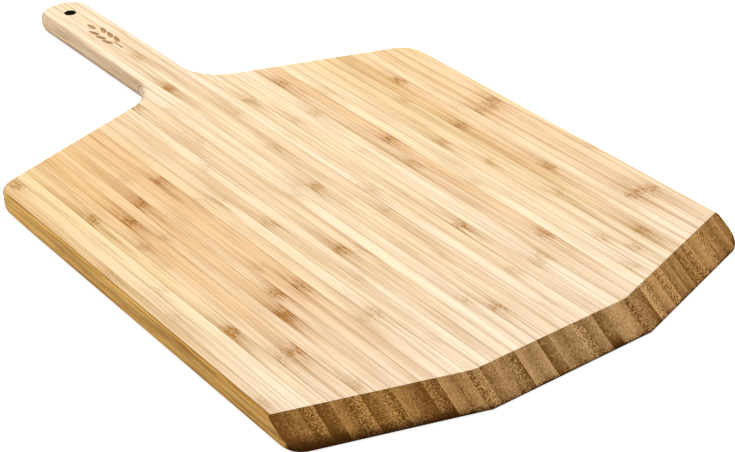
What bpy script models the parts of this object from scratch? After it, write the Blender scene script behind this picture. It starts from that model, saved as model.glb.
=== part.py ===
"""Bamboo pizza peel, in metres, +Z up.

The peel is one board of full-length bamboo strips, glued edge to edge and then cut to shape: a wide blade
with a ramp along its leading edge, and a straight handle with a hanging hole. The leading edge faces -Y
and the handle points to +Y. The origin is on the surface that the peel lies on, under the middle of the
board. A strip is what a straight bar and the board's shape have in common.
"""

import math

import bmesh
import bpy
from mathutils import Vector

# The board
LENGTH = 0.532
THICKNESS = 0.0134
FRONT_Y = -LENGTH / 2
BACK_Y = LENGTH / 2

# The blade's outline: a nose of three straight facets, straight sides and sloping shoulders
BLADE_WIDTH = 0.305
NOSE_HALF_WIDTH = 0.0536
SIDE_FACET_ANGLE = math.radians(17.6)
FRONT_CORNER_RADIUS = 0.013
SHOULDER_Y = FRONT_Y + 0.3265
SHOULDER_ANGLE = math.radians(19.1)
SHOULDER_CORNER_RADIUS = 0.018

# The handle's outline: a slight taper from the neck to an end with round corners
NECK_WIDTH = 0.0360
NECK_FILLET_RADIUS = 0.030
HANDLE_END_WIDTH = 0.0353
HANDLE_END_RADIUS = 0.0155

# The ramp rises from the top of the rounded toe to the top face
RAMP_RUN = 0.0184
TOE_HEIGHT = 0.0020

# Rounding of the edges. The lower edge of the nose is as round as the toe is high, and the rounding grows
# round the front corners to that of the sides, and past the shoulders to that of the handle
TOE_END_Y = FRONT_Y + 0.028
SIDE_START_Y = FRONT_Y + 0.041
SIDE_END_Y = SHOULDER_Y - 0.045
NECK_Y = SHOULDER_Y + (BLADE_WIDTH - NECK_WIDTH) / 2 * math.tan(SHOULDER_ANGLE)
SIDE_STEPS = 3
BLADE_UPPER_EDGE_RADIUS = 0.0017
BLADE_LOWER_EDGE_RADIUS = 0.0030
HANDLE_UPPER_EDGE_RADIUS = 0.0037
HANDLE_LOWER_EDGE_RADIUS = 0.0064
EDGE_SEGMENTS = 3

# Points nearer to a cutting plane than this count as on it
SNAP = 0.00001

# The hanging hole
HOLE_RADIUS = 0.00365
HOLE_Y = FRONT_Y + 0.5111
HOLE_SEGMENTS = 32

# The strips
STRIP_COUNT = 41
STRIP_PITCH = 0.00749
GLUE_GAP = 0.0003
FIRST_GLUE_LINE_X = -0.1455
BAR_OVERHANG = 0.005

# Tones of the strips, as linear colours, and the strips that have the palest and the darkest
TONES = {
    "bamboo_pale": (0.84, 0.66, 0.40),
    "bamboo_straw": (0.76, 0.56, 0.31),
    "bamboo_honey": (0.62, 0.41, 0.20),
}
PALE_STRIPS = {2, 3, 13, 15, 18, 19, 23, 26, 27, 30, 31, 37}
HONEY_STRIPS = {6, 8, 10, 11, 29, 35}
BAMBOO_ROUGHNESS = 0.5


def clear_scene():
    for obj in list(bpy.data.objects):
        bpy.data.objects.remove(obj)


def hide_helper(obj):
    """Marks an object as a helper, which isn't part of the peel."""
    obj.hide_render = True
    obj.display_type = "WIRE"


def new_object(name, mesh):
    obj = bpy.data.objects.new(name, mesh)
    bpy.context.scene.collection.objects.link(obj)
    return obj


def right_half_corners():
    """Corners of the outline's right half from the nose to the handle's end: point, radius, segments."""
    blade = BLADE_WIDTH / 2
    neck = NECK_WIDTH / 2
    end = HANDLE_END_WIDTH / 2
    side_facet_rise = (blade - NOSE_HALF_WIDTH) * math.tan(SIDE_FACET_ANGLE)
    side_steps = [step / SIDE_STEPS for step in range(SIDE_STEPS)]
    side = [Vector((blade, SIDE_END_Y + share * (SHOULDER_Y - SIDE_END_Y) * 0.7)) for share in side_steps]
    return [
        (Vector((NOSE_HALF_WIDTH, FRONT_Y)), 0.0, 0),
        (Vector((blade, FRONT_Y + side_facet_rise)), FRONT_CORNER_RADIUS, 6),
        *((point, 0.0, 0) for point in side),
        (Vector((blade, SHOULDER_Y)), SHOULDER_CORNER_RADIUS, 6),
        (Vector((neck, NECK_Y)), NECK_FILLET_RADIUS, 8),
        (Vector((end, BACK_Y)), HANDLE_END_RADIUS, 8),
    ]


def rounded_corner(before, corner, after, radius, segments):
    """Points of the arc that rounds a corner between its two neighbours."""
    if segments == 0:
        return [corner]
    to_before = (before - corner).normalized()
    to_after = (after - corner).normalized()
    half_angle = to_before.angle(to_after) / 2
    centre = corner + (to_before + to_after).normalized() * (radius / math.sin(half_angle))
    tangent_length = radius / math.tan(half_angle)
    start = (corner + to_before * tangent_length - centre).normalized()
    end = (corner + to_after * tangent_length - centre).normalized()
    return [centre + radius * start.slerp(end, step / segments) for step in range(segments + 1)]


def board_outline():
    """The board's outline in plan, anticlockwise from the nose."""
    right = right_half_corners()
    left = [(Vector((-point.x, point.y)), radius, segments) for point, radius, segments in reversed(right)]
    corners = right + left
    points = []
    for index, (corner, radius, segments) in enumerate(corners):
        before = corners[index - 1][0]
        after = corners[(index + 1) % len(corners)][0]
        points += rounded_corner(before, corner, after, radius, segments)
    return points


def inward_directions(points):
    """For each point of the outline, the way inwards that moves both its sides by one unit."""
    directions = []
    for index, point in enumerate(points):
        along_before = (point - points[index - 1]).normalized()
        along_after = (points[(index + 1) % len(points)] - point).normalized()
        normals = (Vector((-along.y, along.x)) for along in (along_before, along_after))
        normal_before, normal_after = normals
        directions.append((normal_before + normal_after) / (1 + normal_before.dot(normal_after)))
    return directions


def eased(value, low, high, start, end):
    """Goes smoothly from start to end while the value goes from low to high."""
    share = min(max((value - low) / (high - low), 0.0), 1.0)
    return start + share * share * (3 - 2 * share) * (end - start)


def edge_radius(y, is_upper):
    """Radius of the upper or lower edge. It grows past the shoulders, and the lower one at the nose too."""
    if is_upper:
        return eased(y, SIDE_END_Y, NECK_Y, BLADE_UPPER_EDGE_RADIUS, HANDLE_UPPER_EDGE_RADIUS)
    if y < SIDE_END_Y:
        return eased(y, TOE_END_Y, SIDE_START_Y, TOE_HEIGHT, BLADE_LOWER_EDGE_RADIUS)
    return eased(y, SIDE_END_Y, NECK_Y, BLADE_LOWER_EDGE_RADIUS, HANDLE_LOWER_EDGE_RADIUS)


def edge_profile():
    """The rounded edge from the underside up, in radii: inset, height, and whether it is the upper edge."""
    steps = [step / EDGE_SEGMENTS * math.pi / 2 for step in range(EDGE_SEGMENTS + 1)]
    lower = [(1 - math.sin(angle), 1 - math.cos(angle), False) for angle in steps]
    upper = [(inset, drop, True) for inset, drop, _ in reversed(lower)]
    return lower + upper


def add_ring(shape, outline, inward, inset, drop, is_upper):
    """One ring of vertices round the board at one step of its edge profile."""
    ring = []
    for point, direction in zip(outline, inward):
        radius = edge_radius(point.y, is_upper)
        place = point + direction * (inset * radius)
        height = THICKNESS - drop * radius if is_upper else drop * radius
        ring.append(shape.verts.new((place.x, place.y, height)))
    return ring


def cut_facet(shape, start, end):
    """Cuts one facet of the ramp, whose toe runs from start to end along the leading edge."""
    along = end - start
    outward = Vector((along.y, -along.x)).normalized()
    rise = THICKNESS - TOE_HEIGHT
    cut = bmesh.ops.bisect_plane(
        shape,
        dist=SNAP,
        geom=shape.verts[:] + shape.edges[:] + shape.faces[:],
        plane_co=(start.x, start.y, TOE_HEIGHT),
        plane_no=(outward.x * rise, outward.y * rise, RAMP_RUN),
        clear_outer=True,
    )
    rim = [item for item in cut["geom_cut"] if isinstance(item, bmesh.types.BMEdge)]
    bmesh.ops.edgeloop_fill(shape, edges=rim)


def make_board_form():
    """The shape of the whole board, which every strip is cut to."""
    outline = board_outline()
    inward = inward_directions(outline)
    shape = bmesh.new()
    rings = [add_ring(shape, outline, inward, *step) for step in edge_profile()]
    for lower, upper in zip(rings, rings[1:]):
        for index in range(len(outline)):
            following = (index + 1) % len(outline)
            shape.faces.new((lower[index], lower[following], upper[following], upper[index]))
    shape.faces.new(reversed(rings[0]))
    shape.faces.new(rings[-1])

    nose, corner = [point for point, _, _ in right_half_corners()[:2]]
    mirror = Vector((-1, 1))
    cut_facet(shape, nose * mirror, nose)
    cut_facet(shape, nose, corner)
    cut_facet(shape, corner * mirror, nose * mirror)
    bmesh.ops.recalc_face_normals(shape, faces=shape.faces)

    mesh = bpy.data.meshes.new("board_form")
    shape.to_mesh(mesh)
    shape.free()
    form = new_object("board_form", mesh)
    hide_helper(form)
    return form


def make_hole_cutter():
    shape = bmesh.new()
    bmesh.ops.create_cone(
        shape,
        cap_ends=True,
        segments=HOLE_SEGMENTS,
        radius1=HOLE_RADIUS,
        radius2=HOLE_RADIUS,
        depth=3 * THICKNESS,
    )
    mesh = bpy.data.meshes.new("hole_cutter")
    shape.to_mesh(mesh)
    shape.free()
    cutter = new_object("hole_cutter", mesh)
    cutter.location = (0, HOLE_Y, THICKNESS / 2)
    hide_helper(cutter)
    return cutter


def cut(obj, operation, other):
    modifier = obj.modifiers.new(operation.lower(), "BOOLEAN")
    modifier.operation = operation
    modifier.solver = "EXACT"
    modifier.object = other


def make_tone(name, color):
    material = bpy.data.materials.new(name)
    material.use_nodes = True
    surface = material.node_tree.nodes["Principled BSDF"]
    surface.inputs["Base Color"].default_value = (*color, 1)
    surface.inputs["Roughness"].default_value = BAMBOO_ROUGHNESS
    surface.inputs["Metallic"].default_value = 0
    material.diffuse_color = (*color, 1)
    return material


def tone_of(number):
    if number in HONEY_STRIPS:
        return "bamboo_honey"
    if number in PALE_STRIPS:
        return "bamboo_pale"
    return "bamboo_straw"


def make_bar_mesh(name):
    """A plain bar before it is cut, centred on its own middle."""
    shape = bmesh.new()
    bmesh.ops.create_cube(shape, size=1)
    size = (STRIP_PITCH - GLUE_GAP, LENGTH + 2 * BAR_OVERHANG, THICKNESS + 2 * BAR_OVERHANG)
    bmesh.ops.scale(shape, vec=size, verts=shape.verts)
    mesh = bpy.data.meshes.new(name)
    shape.to_mesh(mesh)
    shape.free()
    return mesh


def make_strip(number, form, materials, board):
    """One bamboo strip, numbered from the -X side."""
    name = f"strip_{number:02d}"
    mesh = make_bar_mesh(name)
    mesh.materials.append(materials[tone_of(number)])
    strip = new_object(name, mesh)
    strip.location = (FIRST_GLUE_LINE_X + (number - 1.5) * STRIP_PITCH, 0, THICKNESS / 2)
    strip.parent = board
    cut(strip, "INTERSECT", form)


def main():
    clear_scene()
    form = make_board_form()
    cut(form, "DIFFERENCE", make_hole_cutter())
    materials = {name: make_tone(name, color) for name, color in TONES.items()}
    board = new_object("board", None)
    for number in range(1, STRIP_COUNT + 1):
        make_strip(number, form, materials, board)


main()
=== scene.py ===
"""Looks of the bamboo pizza peel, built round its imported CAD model, in metres, +Z up.

Each bamboo strip of the board is made again with finer edges, and stands for its CAD node. Thin films of
glue lie between the strips. The strips share one procedural bamboo, solid all the way through: fibres run
along Y, so they show as long lines on the faces and as dots on every cut across the grain. What differs
from strip to strip, such as tone, grain and the places of its knuckles, is kept in properties of the strip.
"""

import math
import random

import bmesh
import bpy
from mathutils import Matrix, Vector


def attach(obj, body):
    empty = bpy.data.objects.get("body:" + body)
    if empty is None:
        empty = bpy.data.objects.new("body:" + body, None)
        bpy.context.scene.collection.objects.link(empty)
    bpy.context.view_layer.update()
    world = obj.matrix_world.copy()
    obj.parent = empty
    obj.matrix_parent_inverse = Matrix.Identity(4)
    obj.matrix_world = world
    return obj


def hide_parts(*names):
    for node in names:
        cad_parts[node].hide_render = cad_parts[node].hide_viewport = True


MM = 0.001

# The board, as in the CAD
LENGTH = 0.532
THICKNESS = 0.0134
FRONT_Y = -LENGTH / 2
BACK_Y = LENGTH / 2
BLADE_WIDTH = 0.305
NOSE_HALF_WIDTH = 0.0536
SIDE_FACET_ANGLE = math.radians(17.6)
FRONT_CORNER_RADIUS = 0.013
SHOULDER_Y = FRONT_Y + 0.3265
SHOULDER_ANGLE = math.radians(19.1)
SHOULDER_CORNER_RADIUS = 0.018
NECK_WIDTH = 0.0360
NECK_FILLET_RADIUS = 0.030
HANDLE_END_WIDTH = 0.0353
HANDLE_END_RADIUS = 0.0155
RAMP_RUN = 0.0184
TOE_HEIGHT = 0.0020
TOE_END_Y = FRONT_Y + 0.028
SIDE_START_Y = FRONT_Y + 0.041
SIDE_END_Y = SHOULDER_Y - 0.045
NECK_Y = SHOULDER_Y + (BLADE_WIDTH - NECK_WIDTH) / 2 * math.tan(SHOULDER_ANGLE)
BLADE_UPPER_EDGE_RADIUS = 0.0017
BLADE_LOWER_EDGE_RADIUS = 0.0030
HANDLE_UPPER_EDGE_RADIUS = 0.0037
HANDLE_LOWER_EDGE_RADIUS = 0.0064
HOLE_RADIUS = 0.00365
HOLE_Y = FRONT_Y + 0.5111
STRIP_COUNT = 41
STRIP_PITCH = 0.00749
FIRST_GLUE_LINE_X = -0.1455

# Finer than the CAD
ARC_STEP = math.radians(4)
EDGE_SEGMENTS = 6
SIDE_STEPS = 8
SIDE_STEPS_REACH = 0.7
RAMP_BROW_RADIUS = 0.0009
RAMP_BROW_CUTS = 3
HOLE_SEGMENTS = 64
HOLE_LIP = 0.0005
HOLE_LIP_STEPS = 4
SNAP = 0.00001
SMOOTH_BELOW = math.radians(28)

# Glue between the strips, just under the surface
GLUE_THICKNESS = 0.00015
GLUE_DEPTH = 0.00003

# The burned wheat ear on the handle
MARK_DEPTH = 0.0003
MARK_START_Y = FRONT_Y + 0.4410
STEM_LENGTH = 0.0105
STEM_WIDTH = 0.0014
STEM_TAPER = 0.7
GRAIN_LENGTH = 0.0104
GRAIN_WIDTH = 0.0036
GRAIN_PAIRS = 3
GRAIN_SPACING = 0.0088
GRAIN_LEAN = math.radians(17)
GRAIN_OFFSET_X = 0.0035
FIRST_GRAIN_Y = MARK_START_Y + STEM_LENGTH + GRAIN_LENGTH * 0.30
LAST_GRAIN_Y = FIRST_GRAIN_Y + GRAIN_PAIRS * GRAIN_SPACING + GRAIN_LENGTH * 0.10
GRAIN_POINTS = 10
GRAIN_BELLY = 0.8
GRAIN_BLUNTNESS = 0.75

# Tones of the strips: which are pale or honey, each tone's colour, and how far some strips are from their tone
PALE_STRIPS = {2, 3, 13, 15, 18, 19, 23, 26, 27, 30, 31, 37}
HONEY_STRIPS = {6, 8, 10, 11, 29, 35}
TONE_COLOURS = {
    "bamboo_pale": (0.86, 0.685, 0.470),
    "bamboo_straw": (0.83, 0.628, 0.395),
    "bamboo_honey": (0.79, 0.56, 0.315),
}
DEEPER_STRIPS = {1: 0.20, 9: 0.10, 14: 0.08, 16: 0.12, 22: 0.08, 28: 0.10, 34: 0.08, 35: 0.15, 38: 0.08}
LIGHTER_STRIPS = {3: 0.14, 18: 0.06, 30: 0.08, 37: 0.06}

# Strips whose hue leans to pink or to yellow, and the two that make the handle's sides
PINK_STRIPS = {5, 6, 7, 8, 9, 10, 11, 28, 29, 36, 38, 39, 40}
YELLOW_STRIPS = {3, 4, 18, 24, 30, 34, 35}
HANDLE_SIDE_STRIPS = {19, 23}

# Strips whose end grain is dark, pale or coarse, or has drunk oil along the toe
DARK_ENDS = {1, 4, 10, 11, 17, 20, 25, 28, 29, 35, 41}
PALE_ENDS = {5, 9, 12, 13, 18, 19, 26, 27, 30, 31, 37}
COARSE_ENDS = {3, 6, 8, 11, 14, 17, 23, 28, 30, 32, 35, 36, 38}
OILED_ENDS = {1, 2, 3, 4, 11, 25, 41}

# Knuckles: strip, then distance from the leading edge in millimetres and strength for each
KNUCKLES = {
    1: ((60, 0.3), (205, 0.3)),
    2: ((321, 0.7), (150, 0.2)),
    3: ((173, 0.4), (20, 0.2)),
    4: ((119, 0.9), (259, 0.9)),
    5: ((86, 0.4), (216, 0.5)),
    6: ((84, 0.9), (245, 1.0)),
    7: ((45, 0.4), (218, 0.35)),
    8: ((115, 1.0), (258, 1.0)),
    9: ((133, 0.9), (287, 0.3)),
    10: ((161, 0.35),),
    11: ((131, 1.0), (273, 1.0)),
    12: ((88, 0.35), (240, 0.25)),
    13: ((89, 0.4), (233, 0.3)),
    14: ((195, 0.5), (52, 0.2)),
    15: ((120, 0.2), (270, 0.25)),
    16: ((149, 0.8), (362, 0.6)),
    17: ((143, 0.35), (300, 0.3)),
    18: ((210, 0.25), (345, 0.25)),
    19: ((68, 0.35), (222, 0.25)),
    20: ((53, 0.5), (212, 0.7), (372, 0.8)),
    21: ((110, 0.2), (265, 0.3), (425, 0.35)),
    22: ((165, 0.3), (318, 0.3)),
    23: ((40, 0.2), (190, 0.3)),
    24: ((73, 0.4), (324, 0.6)),
    25: ((126, 0.8), (285, 0.35)),
    26: ((73, 0.4), (230, 0.25)),
    27: ((75, 0.35), (287, 0.4)),
    28: ((199, 0.6), (333, 0.6)),
    29: ((93, 0.7), (231, 0.8)),
    30: ((160, 0.25), (305, 0.2)),
    31: ((40, 0.4), (185, 0.2)),
    32: ((69, 0.4), (207, 0.5)),
    33: ((53, 0.5), (172, 0.5)),
    34: ((120, 0.3), (265, 0.3)),
    35: ((61, 0.6), (218, 0.7)),
    36: ((147, 0.7), (288, 0.8)),
    37: ((100, 0.2), (240, 0.2)),
    38: ((93, 0.6), (226, 0.5)),
    39: ((93, 0.7), (228, 0.6)),
    40: ((92, 0.6), (231, 0.6)),
    41: ((150, 0.3),),
}
NO_KNUCKLE = (-10000.0, 0.0)
KNUCKLES_PER_STRIP = 3

# Colours in the bamboo and tints that multiply it, with painted shade and a painted sheen among them
PINK_TINT = (1.0, 0.955, 0.985)
# Pale colour for the painted sheen at the front and the bleaching on the handle
SHEEN_AND_BLEACH_COLOUR = (0.87, 0.715, 0.545)
AGED_TINT = (0.94, 0.79, 0.44)
DEEP_TINT = (0.57, 0.42, 0.25)
SKIN_COLOURS = ((0.71, 0.40, 0.086), (0.37, 0.16, 0.014))
SEAM_COLOUR = (0.17, 0.052, 0.006)
END_COLOURS = ((0.60, 0.370, 0.165), (0.58, 0.305, 0.092))
END_DEEP_COLOUR = (0.15, 0.060, 0.009)
# Painted shade of the rounded toe, which faces the floor
TOE_SHADE_COLOUR = (0.030, 0.0085, 0.0010)
# Painted shade on the roundings that curve under the board
UNDER_SHADE_TINT = (0.42, 0.31, 0.26)
BURN_COLOUR = (0.40, 0.205, 0.060)
BURN_SHARE = 0.86
# Painted shade in the hole, near black
HOLE_SHADE_COLOUR = (0.012, 0.007, 0.004)
HOLE_SHADE_SHARE = 0.97

# In what follows, a pair is a range. Four numbers are a range and what it turns into, as Graph.ramp takes them.

# Noise in a strip: repeats in a millimetre across, along and up it, then detail and roughness
BAND_NOISE = (0.40, 1 / 105, 0.40)
STREAK_NOISE = (1.5, 1 / 58, 1.5, 3.0, 0.6)
HAIR_NOISE = (3.4, 1 / 27, 3.4)
STROKE_NOISE = (0.65, 0.85, 1.0, 2.0, 0.7)
BEND_NOISE = (0.30, 0.10, 0.0)
SPECK_RATES = (1.5, 0.5, 2.8)
SPECK_DETAIL = (1.0, 0.6)

# Noise along a strip only: millimetres to a repeat, and the share of the strip's seed in it
WAVE_RUN = (85, 53.0)
SWELL_RUN = (60, 31.0)
DRIFT_RUN = (90, 71.0)
JOINT_RUN = (70, 17.0)
SEAM_RUN = (40, 0.0)

# Fibres: how far they wander, and which noise makes a band, streak or hair, a line, and a stroke across a knuckle
SEED_SHIFT = 97.0
FIBRE_WAVE = 0.8
NOISE_RANGE = (0.30, 0.70, -1.0, 1.0)
LINE_HAIRS = (0.57, 0.68)
LINE_STREAKS = (0.40, 0.60)
STROKE_RANGE = (0.42, 0.62)

# Bundles of fibres, as the end grain shows them
BUNDLE_WIDTH = 1.15
BUNDLE_HEIGHT = 0.48
BUNDLE_SHIFT = 40.0
BUNDLE_DRIFT = 4.0
BUNDLE_SWIRL = (1.0, 1.8)
BUNDLE_GIRTH = (0.52, 0.70)
BUNDLE_SOFTNESS = 0.36
BUNDLE_STRENGTH = (0.6, 1.0)
SWIRL_RATES = (0.34, 0.50)

# Knuckles: how they bend and feather, and how far their core, patch and haze reach
KNUCKLE_BEND = 8.0
KNUCKLE_FEATHER = 2.5
CORE_REACH = 2.8
PATCH_REACH = 7.0
HAZE_REACH = 22.0

# How much each layer deepens the faces along the grain, from where it is weakest to where it is strongest
PLAIN_DEPTH = 0.11
BAND_DEPTH = 0.20
STREAK_DEPTH = 0.17
HAIR_DEPTH = 0.09
LINE_DEPTH = 0.29
SWELL_DEPTH = 0.18
OUTER_DEPTH = 0.08
PATCH_DEPTH = (0.22, 0.68)
CORE_DEPTH = (0.26, 0.74)
HAZE_DEPTH = (-0.8, 0.8, 0.10, 0.54)
LEAST_DEPTH = -0.10
MOST_DEPTH = 1.35
JOINT_DEPTH = (0.35, 0.65, 0.10, 0.45)
JOINT_PLACE = (3.30, 3.72)
FLANK_SHADE_STREAKS = (-1.2, 1.2, 0.55, 1.45)
PINK_STREAKS = (0.3, 1.0)

# How much each layer deepens the end grain
END_SPECK_DEPTH = 0.24
END_BAND_DEPTH = 0.08
END_OUTER_DEPTH = 0.22

# Changes along the board: between which two places, in millimetres from its middle, and from and to how much
# Painted sheen, paler towards the leading edge
FRONT_SHEEN = (-110.0, -250.0, 0.0, 0.60)
HANDLE_BLEACHING = (70.0, 120.0, 0.0, 0.40)
AGEING = (-250.0, 60.0, 0.0, 0.52)
SKIN_FADING = (-160.0, -60.0, 0.0, -0.28)
SEAM_END = (60.0, 35.0, 0.0, 1.0)
NECK_END_SHARE = (78.0, 94.0, 1.0, 0.45)
NECK_END_DEPTH = (78.0, 94.0, 0.0, -0.50)
# Painted shade under the board, stronger towards the handle
UNDER_SHADE_GROWTH = (60.0, 110.0, 0.4, 1.0)

# How squarely a face must look sideways, along or down for a layer: where it starts and where it is whole
JOINT_FACING = (0.6, 0.3)
# Faces that take painted shade on the handle's sides
FLANK_SHADE_FACING = (0.16, 0.36)
END_FACING = (0.20, 0.45)
# Faces that take painted shade under the board
UNDER_SHADE_FACING = (-0.20, -0.55)
FLAT_FACING = (-0.97, -0.92)

# The culm's skin and its seam, in shares of the strip's width from its inner side
SKIN_PLACE = (0.725, 0.76)
SEAM_PLACE = 0.738
SEAM_WANDER = 0.015
SEAM_WIDTH = (0.050, 0.022)
SEAM_BREAKS = (0.30, 0.44, 0.8, 1.0)
SEAM_HEIGHT = (11.0, 12.0)
SEAM_SHARE = 0.80

# Darkening along the toe, in millimetres from the underside: oil and painted shade low on the ramp, and painted
# shade of the underside at the toe itself
# Oil and painted shade on the ramp's lower part
OIL_AND_SHADE_HEIGHT = (6.5, 1.0)
OIL_AND_SHADE_WANDER = 3.0
OIL_AND_SHADE_BUNDLES = 1.2
# Painted shade at the toe
TOE_DARKEST = 1.3
TOE_WANDER = 1.0
TOE_BUNDLES = -0.7
TOE_SHADE_SHARE = 0.96

# What differs from strip to strip
SKIN_SPREAD = 0.25
# Painted shade on the handle's sides
FLANK_SHADE_DEPTH = 0.25
STRIP_DEPTH_SPREAD = 0.03
GOLD_X = (0.02, 0.11)
GOLD_LEFT = 1.0
GOLD_RIGHT = 0.65
LEFT_X = (0.03, 0.11)
YELLOW_LEAN = -0.7
END_DEPTH = 0.62
LEFT_END_DEPTH = 0.16
DARK_END_DEPTH = 0.22
PALE_END_DEPTH = -0.16
END_DEPTH_SPREAD = 0.05
COARSE_END = 0.46
FINE_END = 0.20
# How much oil and painted shade darken the end grain low down; more on oiled strips
OILED_END = 0.70
CLEAN_END = 0.22
# How high painted shade darkens the toe, in millimetres: higher on the left and on oiled strips
TOE_DARKNESS_HEIGHT = 2.5
LEFT_TOE_DARKNESS = 2.6
OILED_TOE_DARKNESS = 1.8

# Surfaces
BUMP_HEIGHT = 0.00004
BUMP_STRENGTH = 0.6
BUNDLE_BUMP = -0.5
FIBRE_BUMP = 0.15
LINE_BUMP = -0.3
BAMBOO_ROUGHNESS = 0.50
STREAK_ROUGHNESS = 0.04
END_ROUGHNESS = 0.12
BUNDLE_ROUGHNESS = 0.05
BAMBOO_GLOSS = (0.22, 0.02)
GLUE_COLOURS = ((0.46, 0.25, 0.090), (0.16, 0.062, 0.015))
GLUE_RAMP_COLOUR = (0.050, 0.016, 0.003)
GLUE_PATCH_RATES = (0.3, 0.025, 0.3)
GLUE_PATCH_RANGE = (0.35, 0.65)
GLUE_ROUGHNESS = (0.3, 0.7, 0.55, 0.70)
GLUE_GLOSS = 0.03
GLUE_RAMP_Y = (-205.0, -215.0)
GLUE_RAMP_Z = (13.2, 11.5)
GLUE_TOE_Z = (9.0, 3.0, 0.75, 1.0)

# The camera, its turn about the board and its place
CAMERA_AZIMUTH = math.radians(-36.717)
CAMERA_ELEVATION = math.radians(31.220)
CAMERA_ROLL = math.radians(-0.827)
CAMERA_PLACE = (-0.5340, FRONT_Y - 0.5432, 0.5443)
CAMERA_LENS = 90.55
SENSOR_WIDTH = 36

# Lights and floor
FLOOR_SIZE = 8
FLOOR_Z = -0.0002
FLOOR_COLOUR = (0.97, 0.97, 0.97)
FLOOR_GLOW = 0.75
FLOOR_ROUGHNESS = 0.9
SKY_STRENGTH = 0.60
KEY_PLACE = (0.75, 0.55, 2.1)
KEY_SIZE = 1.8
KEY_POWER = 44
KEY_COLOUR = (1.0, 0.985, 0.96)


# Shape of the board


def right_half_corners():
    """Corners of the outline's right half from the nose to the handle's end, each with its radius."""
    blade = BLADE_WIDTH / 2
    neck = NECK_WIDTH / 2
    end = HANDLE_END_WIDTH / 2
    side_facet_rise = (blade - NOSE_HALF_WIDTH) * math.tan(SIDE_FACET_ANGLE)
    reach = (SHOULDER_Y - SIDE_END_Y) * SIDE_STEPS_REACH
    side = [Vector((blade, SIDE_END_Y + step / SIDE_STEPS * reach)) for step in range(SIDE_STEPS)]
    return [
        (Vector((NOSE_HALF_WIDTH, FRONT_Y)), 0.0),
        (Vector((blade, FRONT_Y + side_facet_rise)), FRONT_CORNER_RADIUS),
        *((point, 0.0) for point in side),
        (Vector((blade, SHOULDER_Y)), SHOULDER_CORNER_RADIUS),
        (Vector((neck, NECK_Y)), NECK_FILLET_RADIUS),
        (Vector((end, BACK_Y)), HANDLE_END_RADIUS),
    ]


def rounded_corner(before, corner, after, radius):
    """Points of the arc that rounds a corner between its two neighbours."""
    if radius == 0:
        return [corner]
    to_before = (before - corner).normalized()
    to_after = (after - corner).normalized()
    half_angle = to_before.angle(to_after) / 2
    centre = corner + (to_before + to_after).normalized() * (radius / math.sin(half_angle))
    tangent_length = radius / math.tan(half_angle)
    start = (corner + to_before * tangent_length - centre).normalized()
    end = (corner + to_after * tangent_length - centre).normalized()
    segments = math.ceil(start.angle(end) / ARC_STEP)
    return [centre + radius * start.slerp(end, step / segments) for step in range(segments + 1)]


def board_outline():
    """The board's outline in plan, anticlockwise from the nose."""
    right = right_half_corners()
    left = [(Vector((-point.x, point.y)), radius) for point, radius in reversed(right)]
    corners = right + left
    points = []
    for index, (corner, radius) in enumerate(corners):
        before = corners[index - 1][0]
        after = corners[(index + 1) % len(corners)][0]
        points += rounded_corner(before, corner, after, radius)
    return points


def inward_directions(points):
    """For each point of the outline, the way inwards that moves both its sides by one unit."""
    directions = []
    for index, point in enumerate(points):
        along_before = (point - points[index - 1]).normalized()
        along_after = (points[(index + 1) % len(points)] - point).normalized()
        before, after = (Vector((-along.y, along.x)) for along in (along_before, along_after))
        directions.append((before + after) / (1 + before.dot(after)))
    return directions


def eased(value, low, high, start, end):
    """Goes smoothly from start to end while the value goes from low to high."""
    share = min(max((value - low) / (high - low), 0.0), 1.0)
    return start + share * share * (3 - 2 * share) * (end - start)


def edge_radius(y, is_upper):
    """Radius of the upper or lower edge. Both grow towards the handle, the lower one also behind the nose."""
    if is_upper:
        return eased(y, SIDE_END_Y, NECK_Y, BLADE_UPPER_EDGE_RADIUS, HANDLE_UPPER_EDGE_RADIUS)
    if y < SIDE_END_Y:
        return eased(y, TOE_END_Y, SIDE_START_Y, TOE_HEIGHT, BLADE_LOWER_EDGE_RADIUS)
    return eased(y, SIDE_END_Y, NECK_Y, BLADE_LOWER_EDGE_RADIUS, HANDLE_LOWER_EDGE_RADIUS)


def edge_profile():
    """The rounded edge from the underside up, in radii: inset, height, and whether it is the upper edge."""
    steps = [step / EDGE_SEGMENTS * math.pi / 2 for step in range(EDGE_SEGMENTS + 1)]
    lower = [(1 - math.sin(angle), 1 - math.cos(angle), False) for angle in steps]
    upper = [(inset, drop, True) for inset, drop, _ in reversed(lower)]
    return lower + upper


def close_rings(shape, rings):
    """Faces between each two rings of vertices, from the lowest up, and one on each end."""
    for lower, upper in zip(rings, rings[1:]):
        for index in range(len(lower)):
            following = (index + 1) % len(lower)
            shape.faces.new((lower[index], lower[following], upper[following], upper[index]))
    shape.faces.new(reversed(rings[0]))
    shape.faces.new(rings[-1])


def add_ring(shape, outline, inward, depth, inset, drop, is_upper):
    """One ring of vertices round the board at one step of its edge profile, depth below the surface."""
    ring = []
    for point, direction in zip(outline, inward):
        radius = edge_radius(point.y, is_upper) - depth
        place = point + direction * (depth + inset * radius)
        rise = depth + drop * radius
        ring.append(shape.verts.new((place.x, place.y, THICKNESS - rise if is_upper else rise)))
    return ring


def cut_plane(shape, point, normal):
    """Cuts away what is beyond a plane, and closes the cut."""
    cut = bmesh.ops.bisect_plane(
        shape,
        dist=SNAP,
        geom=shape.verts[:] + shape.edges[:] + shape.faces[:],
        plane_co=point,
        plane_no=normal,
        clear_outer=True,
    )
    rim = [item for item in cut["geom_cut"] if isinstance(item, bmesh.types.BMEdge)]
    if rim:
        bmesh.ops.edgeloop_fill(shape, edges=rim)


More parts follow.
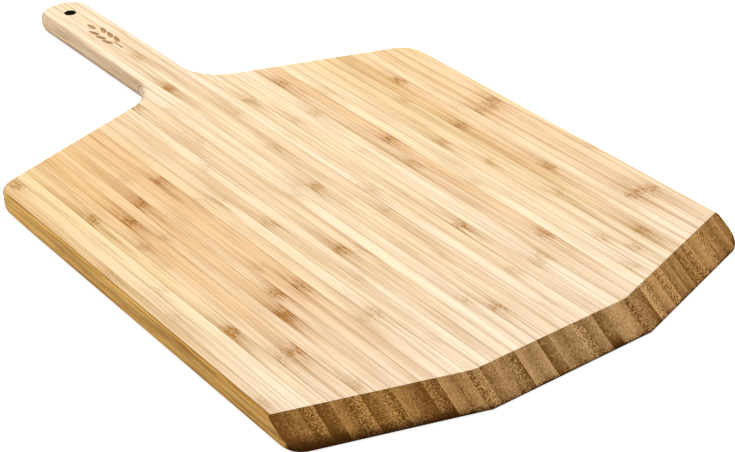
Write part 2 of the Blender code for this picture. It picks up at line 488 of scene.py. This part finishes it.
def cut_facet(shape, start, end, depth):
    """Cuts one facet of the ramp, whose toe runs from start to end, and eases its brow."""
    along = end - start
    outward = Vector((along.y, -along.x)).normalized()
    rise = THICKNESS - TOE_HEIGHT
    toe = Vector((start.x, start.y, TOE_HEIGHT))
    up = Vector((0, 0, 1))
    slope = Vector((outward.x * rise, outward.y * rise, RAMP_RUN)).normalized()
    cut_plane(shape, toe - slope * depth, slope)
    brow = Vector((start.x - outward.x * RAMP_RUN, start.y - outward.y * RAMP_RUN, THICKNESS))
    centre = brow - (up + slope) * (RAMP_BROW_RADIUS / (1 + up.dot(slope)))
    for step in range(1, RAMP_BROW_CUTS + 1):
        facing = up.slerp(slope, step / (RAMP_BROW_CUTS + 1))
        cut_plane(shape, centre + facing * (RAMP_BROW_RADIUS - depth), facing)


def board_form(depth):
    """The board's whole shape, moved inwards by a depth."""
    outline = board_outline()
    inward = inward_directions(outline)
    shape = bmesh.new()
    close_rings(shape, [add_ring(shape, outline, inward, depth, *step) for step in edge_profile()])

    nose, corner = [point for point, _ in right_half_corners()[:2]]
    mirror = Vector((-1, 1))
    cut_facet(shape, nose * mirror, nose, depth)
    cut_facet(shape, nose, corner, depth)
    cut_facet(shape, corner * mirror, nose * mirror, depth)
    bmesh.ops.recalc_face_normals(shape, faces=shape.faces)
    return shape


def slab(form, low_x, high_x):
    """What lies of a form between two upright planes."""
    shape = form.copy()
    cut_plane(shape, (low_x, 0, 0), (-1, 0, 0))
    cut_plane(shape, (high_x, 0, 0), (1, 0, 0))
    bmesh.ops.recalc_face_normals(shape, faces=shape.faces)
    return shape


def new_object(name, shape):
    mesh = bpy.data.meshes.new(name)
    shape.to_mesh(mesh)
    shape.free()
    obj = bpy.data.objects.new(name, mesh)
    bpy.context.scene.collection.objects.link(obj)
    return obj


# Cutters


def prism(shape, points, low, high):
    """A closed upright prism on an outline, added to a shape."""
    close_rings(shape, [[shape.verts.new((*point, height)) for point in points] for height in (low, high)])


def hole_cutter(hole_shade_bamboo):
    """A round bar that flares where it leaves the board, which eases the hole's rims."""
    steps = [step / HOLE_LIP_STEPS * math.pi / 2 for step in range(HOLE_LIP_STEPS + 1)]
    lip = [(HOLE_RADIUS + HOLE_LIP * (1 - math.cos(a)), HOLE_LIP * (1 - math.sin(a))) for a in steps]
    top = [(radius, THICKNESS - rise) for radius, rise in lip]
    bottom = [(radius, rise) for radius, rise in reversed(lip)]
    widest = HOLE_RADIUS + HOLE_LIP
    profile = [(widest, -THICKNESS)] + bottom + top + [(widest, 2 * THICKNESS)]
    shape = bmesh.new()
    angles = [index / HOLE_SEGMENTS * 2 * math.pi for index in range(HOLE_SEGMENTS)]
    rings = []
    for radius, height in profile:
        spots = [(radius * math.cos(a), HOLE_Y + radius * math.sin(a), height) for a in angles]
        rings.append([shape.verts.new(spot) for spot in spots])
    close_rings(shape, rings)
    cutter = new_object("hole_cutter", shape)
    # The hole's walls take this material: painted shade, near black
    cutter.data.materials.append(hole_shade_bamboo)
    return hidden(cutter)


def grain_outline(centre, lean):
    """A pointed grain, turned from +Y by its lean."""
    half = []
    for step in range(GRAIN_POINTS + 1):
        share = step / GRAIN_POINTS
        along = (share - 0.5) * GRAIN_LENGTH
        across = GRAIN_WIDTH / 2 * math.sin(math.pi * share**GRAIN_BELLY) ** GRAIN_BLUNTNESS
        half.append((across, along))
    other = [(-across, along) for across, along in reversed(half[1:-1])]
    turn = Matrix.Rotation(-lean, 2)
    return [centre + turn @ Vector(point) for point in half + other]


def mark_cutter(scorched):
    """The wheat ear: a stem, pairs of leaning grains and a last grain on top."""
    low = THICKNESS - MARK_DEPTH
    high = THICKNESS + MARK_DEPTH
    shape = bmesh.new()
    foot = STEM_WIDTH / 2
    top = foot * STEM_TAPER
    stem_end = MARK_START_Y + STEM_LENGTH
    corners = [(-foot, MARK_START_Y), (foot, MARK_START_Y), (top, stem_end), (-top, stem_end)]
    prism(shape, [Vector(corner) for corner in corners], low, high)
    for pair in range(GRAIN_PAIRS):
        for side in (-1, 1):
            centre = Vector((side * GRAIN_OFFSET_X, FIRST_GRAIN_Y + pair * GRAIN_SPACING))
            prism(shape, grain_outline(centre, side * GRAIN_LEAN), low, high)
    prism(shape, grain_outline(Vector((0, LAST_GRAIN_Y)), 0), low, high)
    cutter = new_object("mark_cutter", shape)
    cutter.data.materials.append(scorched)
    return hidden(cutter)


def hidden(obj):
    obj.hide_render = True
    obj.hide_viewport = True
    return obj


def cut_out(obj, *cutters):
    """Cuts the cutters out of an object for good, with the cutters' own material in the cuts."""
    for cutter in cutters:
        modifier = obj.modifiers.new(cutter.name, "BOOLEAN")
        modifier.operation = "DIFFERENCE"
        modifier.solver = "EXACT"
        modifier.material_mode = "TRANSFER"
        modifier.object = cutter
    apply_modifiers(obj)


def apply_modifiers(obj):
    graph = bpy.context.evaluated_depsgraph_get()
    done = bpy.data.meshes.new_from_object(obj.evaluated_get(graph))
    plain = obj.data
    obj.modifiers.clear()
    obj.data = done
    done.name = obj.name
    bpy.data.meshes.remove(plain)


def shade(obj):
    """Smooth round edges between flat faces."""
    obj.data.shade_smooth()
    obj.data.set_sharp_from_angle(angle=SMOOTH_BELOW)
    modifier = obj.modifiers.new("weighted_normals", "WEIGHTED_NORMAL")
    modifier.keep_sharp = True
    modifier.weight = 100
    apply_modifiers(obj)


# Materials


class Graph:
    """Makes the nodes of a material.

    A value given to a node is a number, a colour or another node's socket.
    """

    def __init__(self, name):
        self.material = bpy.data.materials.new(name)
        self.material.use_nodes = True
        self.tree = self.material.node_tree
        self.surface = self.tree.nodes["Principled BSDF"]

    def feed(self, socket, value):
        if isinstance(value, bpy.types.NodeSocket):
            self.tree.links.new(value, socket)
        else:
            socket.default_value = value

    def show(self, **values):
        """Feeds the surface's inputs, named with _ for each space."""
        for name, value in values.items():
            self.feed(self.surface.inputs[name.replace("_", " ")], value)

    def node(self, kind, values=(), **settings):
        """A node with its settings, and values for its inputs by name or place."""
        node = self.tree.nodes.new(kind)
        for key, value in settings.items():
            setattr(node, key, value)
        for key, value in dict(values).items():
            self.feed(node.inputs[key], value)
        return node

    def math(self, operation, *values):
        return self.node("ShaderNodeMath", enumerate(values), operation=operation).outputs[0]

    def sum(self, *values):
        total = values[0]
        for value in values[1:]:
            total = self.math("ADD", total, value)
        return total

    def times(self, *values):
        total = values[0]
        for value in values[1:]:
            total = self.math("MULTIPLY", total, value)
        return total

    def minus(self, first, second):
        return self.math("SUBTRACT", first, second)

    def size_of(self, value):
        return self.math("ABSOLUTE", value)

    def swing(self, value, size):
        """A value of 0 to 1 as one of -size to size."""
        return self.times(self.math("MULTIPLY_ADD", value, 2.0, -1.0), size)

    def vector(self, operation, *values):
        node = self.node("ShaderNodeVectorMath", enumerate(values), operation=operation)
        return node.outputs["Value" if operation == "DOT_PRODUCT" else "Vector"]

    def join(self, x, y, z):
        return self.node("ShaderNodeCombineXYZ", {"X": x, "Y": y, "Z": z}).outputs[0]

    def split(self, vector):
        return self.node("ShaderNodeSeparateXYZ", {"Vector": vector}).outputs[:3]

    def ramp(self, value, low, high, start=0.0, end=1.0):
        """Goes smoothly from start to end while the value goes from low to high."""
        values = {"Value": value, "From Min": low, "From Max": high, "To Min": start, "To Max": end}
        return self.node("ShaderNodeMapRange", values, interpolation_type="SMOOTHSTEP").outputs["Result"]

    def near(self, offsets, reach):
        """For each part of a vector, 1 near zero and less beyond its reach."""
        ones = (1.0, 1.0, 1.0)
        shares = self.vector("MULTIPLY", offsets, (1 / reach,) * 3)
        squares = self.vector("MULTIPLY", shares, shares)
        fourths = self.vector("MULTIPLY", squares, squares)
        return self.vector("DIVIDE", ones, self.vector("ADD", fourths, ones))

    def noise(self, vector, detail=2.0, roughness=0.5):
        values = {"Vector": vector, "Scale": 1.0, "Detail": detail, "Roughness": roughness}
        return self.node("ShaderNodeTexNoise", values).outputs[0]

    def line_noise(self, place):
        values = {"W": place, "Scale": 1.0, "Detail": 2.0}
        return self.node("ShaderNodeTexNoise", values, noise_dimensions="1D").outputs[0]

    def cells(self, vector):
        """Distance to the nearest cell's middle, and the cell's own random value."""
        values = {"Vector": vector, "Scale": 1.0}
        node = self.node("ShaderNodeTexVoronoi", values, voronoi_dimensions="2D")
        return node.outputs["Distance"], self.split(node.outputs["Color"])[0]

    def place(self):
        """A point's place in its object, in millimetres."""
        place = self.node("ShaderNodeTexCoord").outputs["Object"]
        return self.vector("MULTIPLY", place, (1 / MM,) * 3)

    def facing(self):
        """Which way the surface faces in its object."""
        return self.node("ShaderNodeTexCoord").outputs["Normal"]

    def own(self, name):
        """A number kept in the object's properties."""
        return self.attribute(name).outputs["Fac"]

    def own_vector(self, name):
        """Three numbers kept in the object's properties."""
        return self.attribute(name).outputs["Vector"]

    def attribute(self, name):
        return self.node("ShaderNodeAttribute", attribute_type="OBJECT", attribute_name=name)

    def mix(self, share, first, second, blend="MIX", clamp=True):
        values = {0: share, 6: first, 7: second}
        settings = {"data_type": "RGBA", "blend_type": blend, "clamp_factor": clamp}
        return self.node("ShaderNodeMix", values, **settings).outputs[2]

    def tinted(self, share, colour, tint, clamp=True):
        """A colour that is multiplied by a tint, for the given share."""
        whole = self.mix(1.0, colour, rgb(tint), blend="MULTIPLY")
        return self.mix(share, colour, whole, clamp=clamp)


def rgb(colour):
    return (*colour, 1.0)


class Bamboo(Graph):
    """Solid bamboo that reads the properties which describe() keeps in a strip.

    Lengths in it are in millimetres. Its places and layers are kept as sockets, since most are used
    in more than one layer.
    """

    def __init__(self, name):
        super().__init__(name)
        self.point = self.place()
        self.x, self.y, self.z = self.split(self.point)
        self.facing_x, self.facing_y, self.facing_z = self.split(self.facing())
        self.seed = self.own("seed")
        self.shift = self.times(self.seed, SEED_SHIFT)
        self.from_middle = self.minus(self.x, self.own("strip_x"))
        self.across = self.sum(self.from_middle, self.swing(self.run_noise(*WAVE_RUN), FIBRE_WAVE))
        outwards = self.times(self.from_middle, self.own("outer_side"))
        self.outer = self.math("MULTIPLY_ADD", outwards, MM / STRIP_PITCH, 0.5)
        self.add_fibres()
        self.add_bundles()

    def fibre_noise(self, across_rate, along_rate, up_rate, *detail):
        """Noise in the strip, by how often it repeats in a millimetre each way."""
        across = self.sum(self.times(self.across, across_rate), self.shift)
        place = self.join(across, self.times(self.y, along_rate), self.times(self.z, up_rate))
        return self.noise(place, *detail)

    def run_noise(self, length, seed_share):
        """Noise that changes along the strip only."""
        return self.line_noise(self.sum(self.times(self.y, 1 / length), self.times(self.seed, seed_share)))

    def along(self, low, high, start, end):
        """Goes smoothly from start to end between two places along the board."""
        return self.ramp(self.y, low, high, start, end)

    def add_fibres(self):
        """Long bands, streaks, hairs and thin dark lines, and the short strokes that cross a knuckle."""
        streak_noise = self.fibre_noise(*STREAK_NOISE)
        hair_noise = self.fibre_noise(*HAIR_NOISE)
        self.band = self.ramp(self.fibre_noise(*BAND_NOISE), *NOISE_RANGE)
        self.streak = self.ramp(streak_noise, *NOISE_RANGE)
        self.hair = self.ramp(hair_noise, *NOISE_RANGE)
        self.line = self.times(self.ramp(hair_noise, *LINE_HAIRS), self.ramp(streak_noise, *LINE_STREAKS))
        self.stroke_noise = self.fibre_noise(*STROKE_NOISE)
        self.swell = self.run_noise(*SWELL_RUN)

    def add_bundles(self):
        """Bundles of fibres, denser towards the culm's outer side, which swirl and drift along the strip."""
        swirl_x = self.times(self.x, SWIRL_RATES[0])
        swirl_z = self.times(self.z, SWIRL_RATES[1])
        swirl = self.noise(self.join(swirl_x, swirl_z, self.shift), detail=0.0)
        drift = self.swing(self.run_noise(*DRIFT_RUN), BUNDLE_DRIFT)
        column = self.sum(self.times(self.across, 1 / BUNDLE_WIDTH), self.times(self.seed, BUNDLE_SHIFT))
        row = self.sum(self.times(self.z, 1 / BUNDLE_HEIGHT), drift)
        column = self.sum(column, self.swing(swirl, BUNDLE_SWIRL[0]))
        row = self.sum(row, self.swing(swirl, BUNDLE_SWIRL[1]))
        distance, lot = self.cells(self.join(column, row, 0.0))
        girth = self.ramp(self.outer, 0.0, 1.0, *BUNDLE_GIRTH)
        dot = self.ramp(distance, girth, self.minus(girth, BUNDLE_SOFTNESS))
        self.bundle = self.times(dot, self.ramp(lot, 0.0, 1.0, *BUNDLE_STRENGTH))

    def knuckle_depth(self):
        """A knuckle's core and patch, filled by strokes, in a haze that feathers out along the fibres."""
        bend = self.swing(self.fibre_noise(*BEND_NOISE), KNUCKLE_BEND)
        feathers = self.sum(self.times(self.hair, KNUCKLE_FEATHER), self.times(self.streak, KNUCKLE_FEATHER))
        bent_y = self.sum(self.y, feathers, bend)
        offsets = self.vector("SUBTRACT", self.join(bent_y, bent_y, bent_y), self.own_vector("knuckle_y"))
        strength = self.own_vector("knuckle_strength")
        stroke = self.ramp(self.stroke_noise, *STROKE_RANGE)
        core, patch, haze = (
            self.vector("DOT_PRODUCT", self.near(offsets, reach), strength)
            for reach in (CORE_REACH, PATCH_REACH, HAZE_REACH)
        )
        return self.sum(
            self.times(patch, self.ramp(stroke, 0.0, 1.0, *PATCH_DEPTH)),
            self.times(core, self.ramp(stroke, 0.0, 1.0, *CORE_DEPTH)),
            self.times(haze, self.ramp(self.streak, *HAZE_DEPTH)),
        )

    def joint_depth(self):
        """Wood that is a little deeper along the glue joints, now more and now less."""
        beside = self.ramp(self.size_of(self.from_middle), *JOINT_PLACE)
        upward = self.ramp(self.size_of(self.facing_x), *JOINT_FACING)
        return self.times(beside, upward, self.ramp(self.run_noise(*JOINT_RUN), *JOINT_DEPTH))

    def painted_flank_shade(self):
        """Painted shade on the handle's sides, streaky with the grain."""
        sideways = self.times(self.ramp(self.size_of(self.facing_x), *FLANK_SHADE_FACING), self.own("flank_shade"))
        return self.times(sideways, self.ramp(self.sum(self.streak, self.hair), *FLANK_SHADE_STREAKS))

    def grain_colour(self, colour):
        """Colour of the faces along the grain: deeper by layers, paler at the front by a painted sheen, aged at
        the back.
        """
        depth = self.sum(
            self.own("depth"),
            self.painted_flank_shade(),
            self.joint_depth(),
            self.knuckle_depth(),
            self.times(self.band, BAND_DEPTH),
            self.times(self.streak, STREAK_DEPTH),
            self.times(self.hair, HAIR_DEPTH),
            self.times(self.line, LINE_DEPTH),
            self.swing(self.swell, SWELL_DEPTH),
            self.times(self.minus(self.outer, 0.5), OUTER_DEPTH),
            PLAIN_DEPTH,
        )
        depth = self.math("MINIMUM", self.math("MAXIMUM", depth, LEAST_DEPTH), MOST_DEPTH)
        pinkness = self.times(self.own("pink"), self.ramp(self.streak, -1.0, 1.0, *PINK_STREAKS))
        base = self.tinted(pinkness, rgb(colour), PINK_TINT, clamp=False)
        # Painted sheen at the front, and bleaching on the handle
        sheen_and_bleach = self.sum(self.along(*FRONT_SHEEN), self.along(*HANDLE_BLEACHING))
        base = self.mix(sheen_and_bleach, base, rgb(SHEEN_AND_BLEACH_COLOUR))
        base = self.tinted(self.times(self.own("gold"), self.along(*AGEING)), base, AGED_TINT)
        return self.tinted(depth, base, DEEP_TINT, clamp=False)

    def with_skin(self, colour):
        """The culm's skin on the outer side of some strips."""
        layers = self.ramp(self.sum(self.streak, self.hair, self.band), -1.0, 1.0)
        depth = self.sum(layers, self.along(*SKIN_FADING))
        skin = self.mix(depth, *map(rgb, SKIN_COLOURS), clamp=False)
        return self.mix(self.times(self.ramp(self.outer, *SKIN_PLACE), self.own("skin")), colour, skin)

    def skin_seam(self):
        """The skin's dark seam along the board's upper side edges."""
        offset = self.minus(self.sum(self.outer, self.swing(self.swell, SEAM_WANDER)), SEAM_PLACE)
        beside = self.times(self.ramp(self.size_of(offset), *SEAM_WIDTH), self.own("skin_seam"))
        run = self.ramp(self.run_noise(*SEAM_RUN), *SEAM_BREAKS)
        return self.times(beside, self.ramp(self.z, *SEAM_HEIGHT), run, self.along(*SEAM_END))

    def end_colour(self):
        """Colour of the end grain, darker low down by oil and painted shade, and darkest at the toe by painted
        shade.
        """
        speck = self.noise(self.vector("MULTIPLY", self.point, SPECK_RATES), *SPECK_DETAIL)
        # Oil and painted shade darken the end grain below a ragged height
        dots = self.times(self.bundle, OIL_AND_SHADE_BUNDLES)
        oil_and_shade_edge = self.sum(self.z, self.swing(self.stroke_noise, OIL_AND_SHADE_WANDER), dots)
        depth = self.sum(
            self.own("end_depth"),
            self.swing(self.bundle, self.own("end_coarse")),
            self.swing(speck, END_SPECK_DEPTH),
            self.times(self.band, END_BAND_DEPTH),
            self.times(self.minus(self.outer, 0.5), END_OUTER_DEPTH),
            self.along(*NECK_END_DEPTH),
            self.times(self.own("end_oil_and_shade"), self.ramp(oil_and_shade_edge, *OIL_AND_SHADE_HEIGHT)),
        )
        base = self.mix(self.own("gold"), *map(rgb, END_COLOURS))
        colour = self.mix(depth, base, rgb(END_DEEP_COLOUR))
        # Painted shade along the toe, ragged with specks and bundles
        dots = self.times(self.bundle, TOE_BUNDLES)
        toe_shade_edge = self.sum(self.z, self.swing(speck, TOE_WANDER), dots)
        toe = self.ramp(toe_shade_edge, self.own("toe_shade_height"), TOE_DARKEST)
        return self.mix(self.times(toe, TOE_SHADE_SHARE), colour, rgb(TOE_SHADE_COLOUR))

    def under(self):
        """How far a face curves under the board, without the flat underside: the share of painted shade on the
        lower roundings.
        """
        curved = self.times(self.ramp(self.facing_z, *UNDER_SHADE_FACING), self.ramp(self.facing_z, *FLAT_FACING))
        return self.times(curved, self.along(*UNDER_SHADE_GROWTH))


def bamboo(name, colour, scorch_and_shade=0.0, burn_and_shade=(0.0, 0.0, 0.0)):
    """A bamboo of one tone, mixed as far as asked towards a dark colour: a burn for the mark, painted shade for
    the hole.
    """
    g = Bamboo(name)
    end = g.times(g.ramp(g.size_of(g.facing_y), *END_FACING), g.along(*NECK_END_SHARE))
    seam = g.skin_seam()
    final = g.with_skin(g.grain_colour(colour))
    final = g.mix(g.times(seam, SEAM_SHARE), final, rgb(SEAM_COLOUR))
    final = g.mix(end, final, g.end_colour())
    # Painted shade on the lower roundings
    final = g.tinted(g.under(), final, UNDER_SHADE_TINT)
    # A burn for the mark, painted shade for the hole
    if scorch_and_shade:
        final = g.mix(scorch_and_shade, final, rgb(burn_and_shade))

    height = g.sum(
        g.times(g.bundle, BUNDLE_BUMP),
        g.times(g.hair, FIBRE_BUMP),
        g.times(g.streak, FIBRE_BUMP),
        g.times(g.line, LINE_BUMP),
    )
    bump = g.node("ShaderNodeBump", {"Height": height, "Strength": BUMP_STRENGTH, "Distance": BUMP_HEIGHT})
    roughness = g.sum(
        BAMBOO_ROUGHNESS,
        g.times(g.streak, STREAK_ROUGHNESS),
        g.times(end, END_ROUGHNESS),
        g.times(g.bundle, BUNDLE_ROUGHNESS),
    )
    g.show(
        Base_Color=final,
        Roughness=roughness,
        Normal=bump.outputs["Normal"],
        Specular_IOR_Level=g.ramp(g.sum(end, seam), 0.0, 1.0, *BAMBOO_GLOSS),
    )
    return g.material


def glue_material():
    """Cured glue, amber, a little uneven along the joint and dark where it meets the ramp."""
    g = Graph("glue")
    place = g.place()
    _, y, z = g.split(place)
    patches = g.noise(g.vector("MULTIPLY", place, GLUE_PATCH_RATES), detail=3.0)
    colour = g.mix(g.ramp(patches, *GLUE_PATCH_RANGE), *map(rgb, GLUE_COLOURS))
    on_ramp = g.times(g.ramp(y, *GLUE_RAMP_Y), g.ramp(z, *GLUE_RAMP_Z), g.ramp(z, *GLUE_TOE_Z))
    g.show(
        Base_Color=g.mix(on_ramp, colour, rgb(GLUE_RAMP_COLOUR)),
        Roughness=g.ramp(patches, *GLUE_ROUGHNESS),
        Specular_IOR_Level=GLUE_GLOSS,
    )
    return g.material


def floor_material():
    """A pale floor, which looks a little brighter to the camera than its light on the board would make it."""
    g = Graph("floor")
    seen = g.node("ShaderNodeLightPath").outputs["Is Camera Ray"]
    g.show(
        Base_Color=rgb(FLOOR_COLOUR),
        Roughness=FLOOR_ROUGHNESS,
        Emission_Color=rgb(FLOOR_COLOUR),
        Emission_Strength=g.times(seen, FLOOR_GLOW),
        Specular_IOR_Level=0.0,
    )
    return g.material


# Pieces


def tone_of(number):
    if number in HONEY_STRIPS:
        return "bamboo_honey"
    if number in PALE_STRIPS:
        return "bamboo_pale"
    return "bamboo_straw"


def strip_centre(number):
    return FIRST_GLUE_LINE_X + (number - 1.5) * STRIP_PITCH


def describe(strip, number):
    """Keeps in a strip what its bamboo reads from it."""
    chance = random.Random(number)
    strip["seed"] = chance.random()
    strip["strip_x"] = strip_centre(number) / MM
    strip["outer_side"] = chance.choice((-1.0, 1.0))
    strip["skin"] = chance.uniform(0.0, SKIN_SPREAD)
    strip["skin_seam"] = 0.0
    if number in (1, STRIP_COUNT):
        strip["outer_side"] = -1.0 if number == 1 else 1.0
        strip["skin"] = 1.0
        strip["skin_seam"] = 1.0
    # Painted shade on the sides of the handle's two side strips
    strip["flank_shade"] = FLANK_SHADE_DEPTH if number in HANDLE_SIDE_STRIPS else 0.0
    centre = strip_centre(number)
    strip["gold"] = eased(abs(centre), *GOLD_X, 0.0, GOLD_LEFT if centre < 0 else GOLD_RIGHT)
    lean = DEEPER_STRIPS.get(number, 0.0) - LIGHTER_STRIPS.get(number, 0.0)
    strip["depth"] = lean + chance.uniform(-STRIP_DEPTH_SPREAD, STRIP_DEPTH_SPREAD)
    strip["pink"] = 1.0 if number in PINK_STRIPS else YELLOW_LEAN if number in YELLOW_STRIPS else 0.0
    leftness = eased(-centre, *LEFT_X, 0.0, 1.0)
    lean = DARK_END_DEPTH if number in DARK_ENDS else PALE_END_DEPTH if number in PALE_ENDS else 0.0
    end_chance = chance.uniform(-END_DEPTH_SPREAD, END_DEPTH_SPREAD)
    strip["end_depth"] = END_DEPTH + LEFT_END_DEPTH * leftness + lean + end_chance
    strip["end_coarse"] = COARSE_END if number in COARSE_ENDS else FINE_END
    oiled = number in OILED_ENDS
    # Oil and painted shade low on the end grain
    strip["end_oil_and_shade"] = OILED_END if oiled else CLEAN_END
    # How high painted shade darkens the toe
    toe_shade_height = TOE_DARKNESS_HEIGHT + LEFT_TOE_DARKNESS * leftness
    strip["toe_shade_height"] = toe_shade_height + (OILED_TOE_DARKNESS if oiled else 0.0)
    knuckles = list(KNUCKLES[number])
    knuckles += [NO_KNUCKLE] * (KNUCKLES_PER_STRIP - len(knuckles))
    strip["knuckle_y"] = [FRONT_Y / MM + distance for distance, _ in knuckles]
    strip["knuckle_strength"] = [float(strength) for _, strength in knuckles]


def make_strips(materials, hole, mark):
    form = board_form(0.0)
    hole_strips = strips_within(HOLE_RADIUS + HOLE_LIP)
    mark_strips = strips_within(GRAIN_OFFSET_X + GRAIN_LENGTH / 2)
    half = (STRIP_PITCH - GLUE_THICKNESS) / 2
    for number in range(1, STRIP_COUNT + 1):
        centre = strip_centre(number)
        tone = tone_of(number)
        strip = new_object(f"bamboo_strip_{number:02d}", slab(form, centre - half, centre + half))
        strip.data.materials.append(materials[tone])
        cutters = []
        if number in hole_strips:
            cutters.append(hole)
        if number in mark_strips:
            cutters.append(mark)
        if cutters:
            cut_out(strip, *cutters)
        shade(strip)
        describe(strip, number)
        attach(strip, "root")
        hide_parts(f"strip_{number:02d}")
    form.free()


def strips_within(reach):
    """Numbers of the strips that come nearer than the reach to the board's middle line."""
    numbers = range(1, STRIP_COUNT + 1)
    return {number for number in numbers if abs(strip_centre(number)) < reach + STRIP_PITCH / 2}


def make_glue(hole):
    """One film between each two strips, all in one piece."""
    form = board_form(GLUE_DEPTH)
    joined = bpy.data.meshes.new("glue_lines")
    together = bmesh.new()
    for number in range(1, STRIP_COUNT):
        line_x = strip_centre(number) + STRIP_PITCH / 2
        film = slab(form, line_x - GLUE_THICKNESS / 2, line_x + GLUE_THICKNESS / 2)
        film.to_mesh(joined)
        together.from_mesh(joined)
        film.free()
    form.free()
    bpy.data.meshes.remove(joined)
    glue = new_object("glue_lines", together)
    glue.data.materials.append(glue_material())
    cut_out(glue, hole)
    shade(glue)
    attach(glue, "root")


# Stage


def make_floor():
    shape = bmesh.new()
    bmesh.ops.create_grid(shape, x_segments=1, y_segments=1, size=FLOOR_SIZE / 2)
    floor = new_object("floor", shape)
    floor.location.z = FLOOR_Z
    floor.data.materials.append(floor_material())


def make_lights():
    world = bpy.data.worlds.new("studio")
    world.use_nodes = True
    sky = world.node_tree.nodes["Background"]
    sky.inputs["Color"].default_value = (1, 1, 1, 1)
    sky.inputs["Strength"].default_value = SKY_STRENGTH
    bpy.context.scene.world = world

    data = bpy.data.lights.new("key", "AREA")
    data.shape = "SQUARE"
    data.size = KEY_SIZE
    data.energy = KEY_POWER
    data.color = KEY_COLOUR
    key = bpy.data.objects.new("key", data)
    key.location = KEY_PLACE
    key.rotation_euler = Vector(KEY_PLACE).to_track_quat("Z", "Y").to_euler()
    bpy.context.scene.collection.objects.link(key)


def make_camera():
    """A camera that looks down at the leading edge from the left."""
    cosine, sine = math.cos(CAMERA_AZIMUTH), math.sin(CAMERA_AZIMUTH)
    level = math.cos(CAMERA_ELEVATION)
    back = Vector((sine * level, -cosine * level, math.sin(CAMERA_ELEVATION)))
    right = Vector((cosine, sine, 0))
    up = back.cross(right)
    axes = Matrix((right, up, back)).transposed() @ Matrix.Rotation(CAMERA_ROLL, 3, "Z")
    data = bpy.data.cameras.new("camera")
    data.lens = CAMERA_LENS
    data.sensor_width = SENSOR_WIDTH
    camera = bpy.data.objects.new("camera", data)
    camera.matrix_world = Matrix.Translation(CAMERA_PLACE) @ axes.to_4x4()
    bpy.context.scene.collection.objects.link(camera)
    bpy.context.scene.camera = camera


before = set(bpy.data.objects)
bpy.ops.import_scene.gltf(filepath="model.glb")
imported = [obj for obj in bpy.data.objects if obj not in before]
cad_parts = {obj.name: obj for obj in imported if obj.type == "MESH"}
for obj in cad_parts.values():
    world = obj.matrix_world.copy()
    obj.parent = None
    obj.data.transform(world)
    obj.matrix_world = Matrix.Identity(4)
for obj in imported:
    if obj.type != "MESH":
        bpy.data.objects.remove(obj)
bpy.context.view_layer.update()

tones = {name: bamboo(name, colour) for name, colour in TONE_COLOURS.items()}
straw = TONE_COLOURS["bamboo_straw"]
scorched = bamboo("bamboo_scorched", straw, BURN_SHARE, BURN_COLOUR)
# Painted shade for the hole's walls
hole_shade_bamboo = bamboo("bamboo_hole_shade", straw, HOLE_SHADE_SHARE, HOLE_SHADE_COLOUR)
hole_bar = hole_cutter(hole_shade_bamboo)
make_strips(tones, hole_bar, mark_cutter(scorched))
make_glue(hole_bar)
make_floor()
make_lights()
make_camera()
bpy.context.scene.view_settings.view_transform = "Standard"
